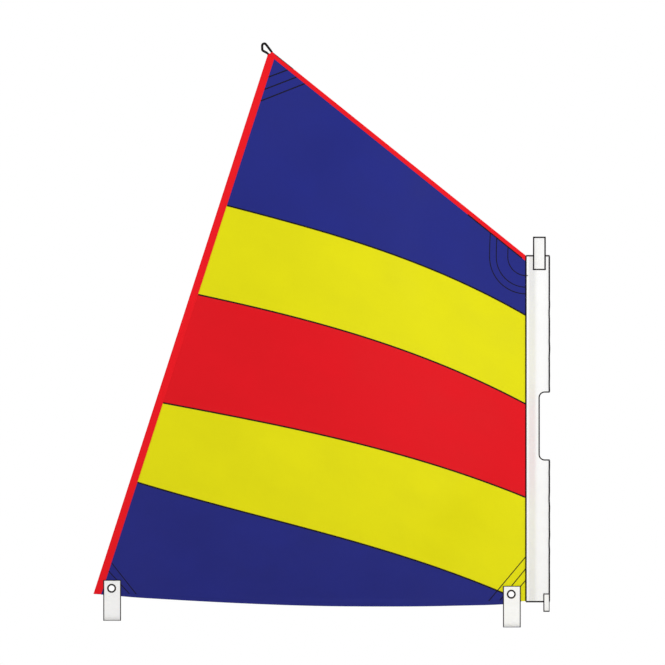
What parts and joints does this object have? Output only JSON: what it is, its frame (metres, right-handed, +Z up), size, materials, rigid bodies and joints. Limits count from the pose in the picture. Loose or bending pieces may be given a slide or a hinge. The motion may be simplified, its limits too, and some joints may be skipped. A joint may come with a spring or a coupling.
{
  "type": "dinghy sail",
  "caption": "Four-sided spritsail of coloured cloth bands with a mast sleeve, edge tapes, corner patches, eyelets, boom straps and a rope loop at the peak.",
  "frame": {"origin": "on the mast's axis, at the lower edge of the mast sleeve", "axes": "+X forward from the leech to the luff, +Z up along the mast, -Y towards the viewer and the side to which the set sail bellies"},
  "size_m": [2.051, 0.1203, 2.6332],
  "materials": {
    "blue_cloth": "woven polyester sailcloth, lightly calendered",
    "yellow_cloth": "woven polyester sailcloth, lightly calendered",
    "red_cloth": "woven polyester sailcloth, lightly calendered",
    "red_tape": "folded and stitched polyester tape",
    "sleeve_cloth": "woven polyester sailcloth",
    "webbing": "plain woven polyester webbing",
    "blackened_brass": "blackened, pressed and rolled",
    "black_rope": "braided polyester rope"
  },
  "bodies": {
    "sail": {"head_panel": "blue_cloth", "upper_panel": "yellow_cloth", "middle_panel": "red_cloth", "lower_panel": "yellow_cloth", "foot_panel": "blue_cloth", "leech_tape": "red_tape", "head_tape": "red_tape", "luff_sleeve": "sleeve_cloth", "peak_patch_large": "blue_cloth", "peak_patch_middle": "blue_cloth", "peak_patch_small": "blue_cloth", "throat_patch_large": "blue_cloth", "throat_patch_middle": "blue_cloth", "throat_patch_small": "blue_cloth", "clew_patch_large": "blue_cloth", "clew_patch_small": "blue_cloth", "tack_patch_large": "yellow_cloth", "tack_patch_middle": "yellow_cloth", "tack_patch_small": "yellow_cloth", "head_strap": "webbing", "downhaul_loop": "webbing", "clew_eyelet": "blackened_brass", "tack_eyelet": "blackened_brass", "clew_washer": "blackened_brass", "tack_washer": "blackened_brass"},
    "clew_strap": {"clew_strap": "webbing"},
    "tack_strap": {"tack_strap": "webbing"},
    "peak_loop": {"peak_loop": "black_rope"}
  },
  "joints": [
    {"name": "clew_strap_swing", "type": "hinge", "parent": "sail", "child": "clew_strap", "pos_m": [-1.9188, 0, 0.0572], "axis": [0, 1, 0], "range_deg": [-45, 45]},
    {"name": "tack_strap_swing", "type": "hinge", "parent": "sail", "child": "tack_strap", "pos_m": [-0.1202, 0, 0.0306], "axis": [0, 1, 0], "range_deg": [-25, 45]},
    {"name": "peak_loop_bend", "type": "hinge", "parent": "sail", "child": "peak_loop", "pos_m": [-1.20701, 0, 2.4697], "axis": [0.8698, 0, 0.4934], "range_deg": [-80, 80], "stiffness_Nm_per_rad": 0.03}
  ]
}
